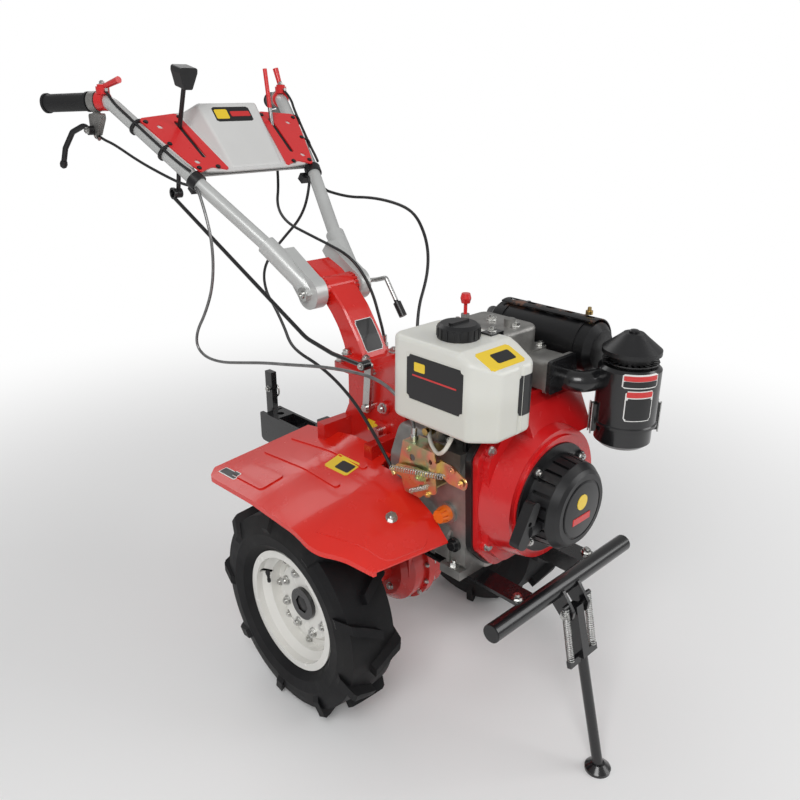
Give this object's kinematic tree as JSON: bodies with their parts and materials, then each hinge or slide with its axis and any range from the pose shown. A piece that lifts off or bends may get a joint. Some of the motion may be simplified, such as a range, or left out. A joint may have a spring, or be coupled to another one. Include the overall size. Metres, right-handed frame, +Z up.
{
  "type": "two-wheeled diesel power weeder",
  "caption": "Walk-behind power weeder: diesel engine, gearbox and lugged tyres under a tilting handlebar, with fenders, bumper, rear hitch and fold-down front stand.",
  "frame": {"origin": "on the floor under the centre of the whole plan box, on the middle plane of the machine", "axes": "+Z up, +Y towards the operator's end with the grips, -Y the engine end with bumper and stand, +X the operator's left"},
  "size_m": [0.652, 1.2786, 1.1167],
  "materials": {
    "black_plastic": "moulded",
    "black_rubber": "moulded",
    "black_steel": "gloss paint",
    "bright_steel": "zinc plated",
    "cable_black": "sheathed",
    "cast_alloy": "raw casting",
    "column_red": "gloss paint",
    "console_plastic": "moulded",
    "console_red": "moulded",
    "fender_red": "gloss paint",
    "gearbox_red": "painted casting",
    "orange_plastic": "moulded",
    "red_plastic": "moulded",
    "rim_white": "gloss paint",
    "shroud_red": "gloss paint",
    "silver_paint": "satin paint",
    "tank_plastic": "translucent moulded",
    "tyre": "matte moulded rubber",
    "zinc": "yellow passivated zinc"
  },
  "bodies": {
    "chassis": {"air_cleaner": "black_steel", "air_cleaner_cap": "black_plastic", "axle_case": "gearbox_red", "blower_gasket": "black_plastic", "blower_housing": "shroud_red", "bumper": "black_steel", "clutch_cable": "cable_black", "crankcase": "cast_alloy", "cylinder_block": "cast_alloy", "cylinder_head": "cast_alloy", "decompression_lever": "red_plastic", "engine_frame": "black_steel", "fender_left": "fender_red", "fender_right": "fender_red", "fender_stays": "black_steel", "fuel_cap": "black_plastic", "fuel_hose": "cable_black", "fuel_tank": "tank_plastic", "gear_arm": "bright_steel", "gearbox": "gearbox_red", "handle_column": "column_red", "heat_shield": "black_steel", "hitch": "black_steel", "injection_pump": "cast_alloy", "intake_box": "cast_alloy", "muffler": "black_steel", "oil_plug": "orange_plastic", "recoil_starter": "black_plastic", "reverse_cable": "cable_black", "rocker_cover": "cast_alloy", "speed_bracket": "zinc", "stand_springs": "bright_steel", "stop_cable": "cable_black", "tank_bracket": "black_steel", "throttle_cable": "cable_black"},
    "handlebar": {"handle_clamp": "cast_alloy", "handle_tube_left": "silver_paint", "handle_tube_right": "silver_paint", "cross_plate": "black_steel", "grips": "black_rubber", "console": "console_plastic", "slot_plates": "console_red", "shift_lever": "black_steel", "reverse_lever": "bright_steel", "clutch_levers": "black_plastic", "lever_brackets": "cast_alloy", "throttle_levers": "console_red", "cable_clips": "black_plastic", "clamp_lever": "bright_steel"},
    "wheel_left": {"tyre_left": "tyre", "rim_left": "rim_white", "hub_left": "black_steel"},
    "wheel_right": {"tyre_right": "tyre", "rim_right": "rim_white", "hub_right": "black_steel"},
    "stand": {"stand_leg": "black_steel"},
    "shift_link": {"shift_rod": "black_steel"}
  },
  "joints": [
    {"name": "wheel_left_spin", "type": "hinge", "parent": "chassis", "child": "wheel_left", "pos_m": [0.237, -0.12777, 0.202], "axis": [1, 0, 0], "continuous": true},
    {"name": "wheel_right_spin", "type": "hinge", "parent": "chassis", "child": "wheel_right", "pos_m": [-0.237, -0.12777, 0.202], "axis": [1, 0, 0], "continuous": true},
    {"name": "stand_fold", "type": "hinge", "parent": "chassis", "child": "stand", "pos_m": [0, -0.54177, 0.29], "axis": [1, 0, 0], "range_deg": [0, 105], "deforming": ["stand_springs"]},
    {"name": "handle_tilt", "type": "hinge", "parent": "chassis", "child": "handlebar", "pos_m": [0, 0.05823, 0.716], "axis": [1, 0, 0], "range_deg": [-12, 12], "deforming": ["clutch_cable", "reverse_cable", "stop_cable", "throttle_cable"]},
    {"name": "shift_rod_swing", "type": "hinge", "parent": "chassis", "child": "shift_link", "pos_m": [-0.092, -0.12777, 0.626], "axis": [1, 0, 0], "range_deg": [-9, 9]}
  ],
  "couplings": [
    {"joint": "shift_rod_swing", "follows": "handle_tilt", "ratio": 0.6625}
  ]
}
